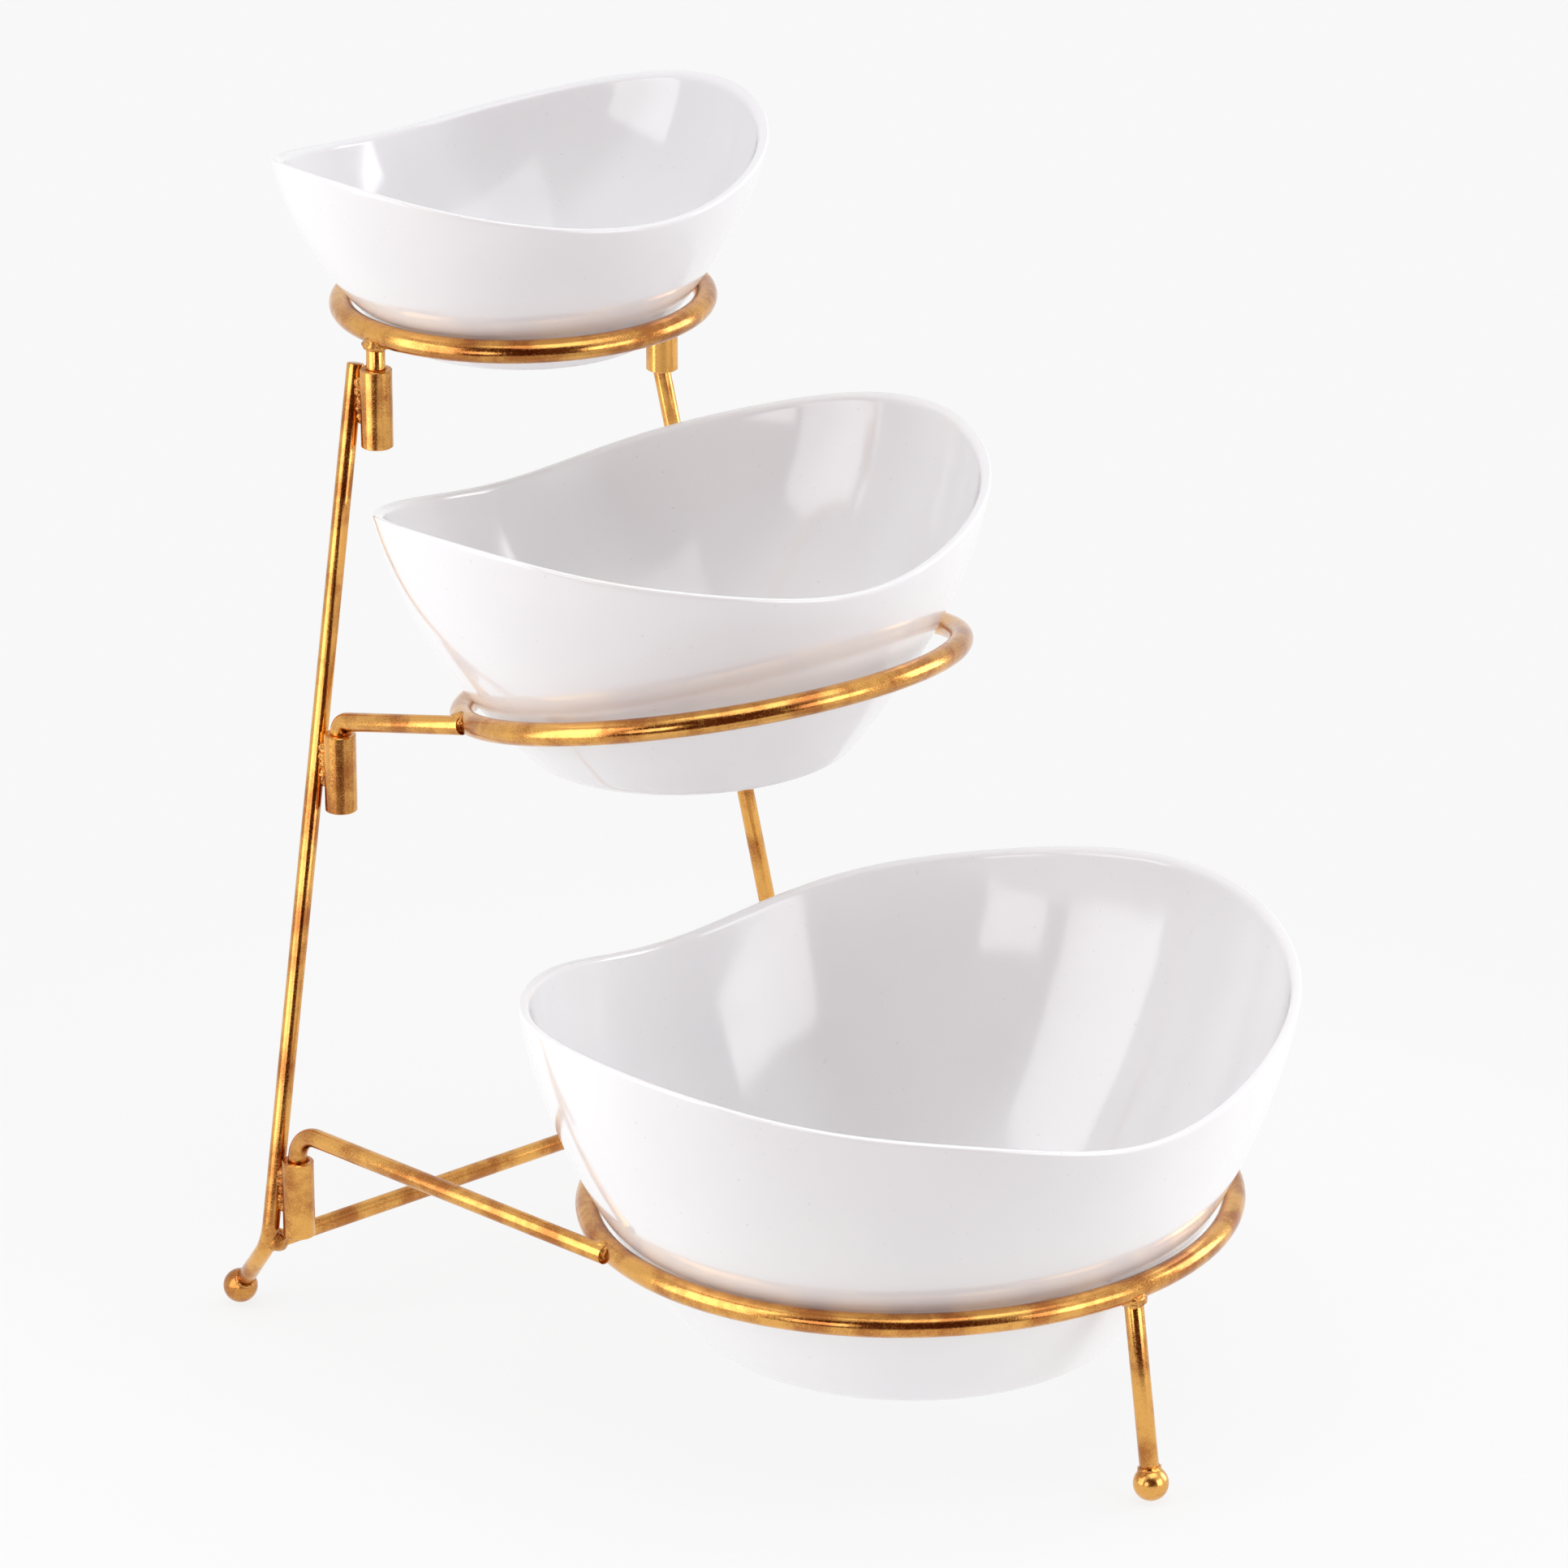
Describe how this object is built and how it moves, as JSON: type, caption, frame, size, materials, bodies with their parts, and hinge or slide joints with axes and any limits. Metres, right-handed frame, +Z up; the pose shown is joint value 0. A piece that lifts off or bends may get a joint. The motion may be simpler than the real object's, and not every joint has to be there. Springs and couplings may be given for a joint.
{
  "type": "tiered cake stand",
  "caption": "Stepped wire stand whose leaning back frame carries hoops, each holding a deep oval porcelain bowl that lifts out.",
  "frame": {"origin": "on the floor under the middle of the stand's bounding box", "axes": "+Z up, -Y towards the front foot and the large bowl, +X to the right seen from the front"},
  "size_m": [0.2708, 0.3897, 0.4029],
  "materials": {
    "gold_wire": "gold lacquer, semi-gloss, faint grain",
    "porcelain": "white gloss glaze"
  },
  "bodies": {
    "back_frame": {"left_leg": "gold_wire", "right_leg": "gold_wire", "left_ball_foot": "gold_wire", "right_ball_foot": "gold_wire", "crossbar": "gold_wire", "crossbar_welds": "gold_wire", "small_left_sleeve": "gold_wire", "small_right_sleeve": "gold_wire", "medium_left_sleeve": "gold_wire", "medium_right_sleeve": "gold_wire", "large_left_sleeve": "gold_wire", "large_right_sleeve": "gold_wire", "sleeve_welds": "gold_wire"},
    "small_tier": {"small_ring": "gold_wire", "small_left_pin": "gold_wire", "small_right_pin": "gold_wire", "small_ring_welds": "gold_wire"},
    "medium_tier": {"medium_ring": "gold_wire", "medium_left_arm": "gold_wire", "medium_right_arm": "gold_wire", "medium_ring_welds": "gold_wire"},
    "large_tier": {"large_ring": "gold_wire", "large_left_arm": "gold_wire", "large_right_arm": "gold_wire", "front_leg": "gold_wire", "front_ball_foot": "gold_wire", "large_ring_welds": "gold_wire"},
    "small_bowl": {"small_bowl": "porcelain"},
    "medium_bowl": {"medium_bowl": "porcelain"},
    "large_bowl": {"large_bowl": "porcelain"}
  },
  "joints": [
    {"name": "small_tier_lift", "type": "slide", "parent": "back_frame", "child": "small_tier", "axis": [0, 0, 1], "range_m": [0, 0.016]},
    {"name": "medium_tier_lift", "type": "slide", "parent": "back_frame", "child": "medium_tier", "axis": [0, 0, 1], "range_m": [0, 0.016]},
    {"name": "large_tier_lift", "type": "slide", "parent": "back_frame", "child": "large_tier", "axis": [0, 0, 1], "range_m": [0, 0.016]},
    {"name": "small_bowl_lift", "type": "slide", "parent": "small_tier", "child": "small_bowl", "axis": [0, -0.2588, 0.9659], "range_m": [0, 0.02]},
    {"name": "medium_bowl_lift", "type": "slide", "parent": "medium_tier", "child": "medium_bowl", "axis": [0, -0.2588, 0.9659], "range_m": [0, 0.03]},
    {"name": "large_bowl_lift", "type": "slide", "parent": "large_tier", "child": "large_bowl", "axis": [0, -0.2588, 0.9659], "range_m": [0, 0.0495]}
  ]
}
